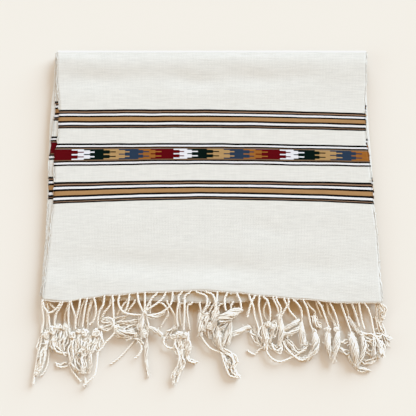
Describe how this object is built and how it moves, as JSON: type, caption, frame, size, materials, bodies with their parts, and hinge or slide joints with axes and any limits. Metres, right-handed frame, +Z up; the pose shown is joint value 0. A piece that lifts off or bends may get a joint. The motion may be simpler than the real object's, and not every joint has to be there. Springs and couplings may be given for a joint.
{
  "type": "folded wool muffler",
  "caption": "Handwoven wool muffler folded into a flat stack, with striped and flame-patterned bands and knotted cord fringes.",
  "frame": {"origin": "on the surface the muffler lies on, under the middle of the whole muffler with its fringes", "axes": "+Z up off the surface, +X to the right along the folds, +Y from the fringes towards the far fold"},
  "size_m": [0.3386, 0.333, 0.0115],
  "materials": {
    "cream_wool": "matt handwoven wool with a soft nap, cream with woven bands of tan, brown, black, crimson, green, blue and ochre",
    "fringe_wool": "matt cream wool yarn, two-ply cords ending in knots and loose tassels"
  },
  "bodies": {
    "root": {"folded_core": "cream_wool", "second_flap": "cream_wool", "top_flap": "cream_wool", "second_fringe": "fringe_wool", "top_fringe": "fringe_wool"}
  },
  "joints": []
}
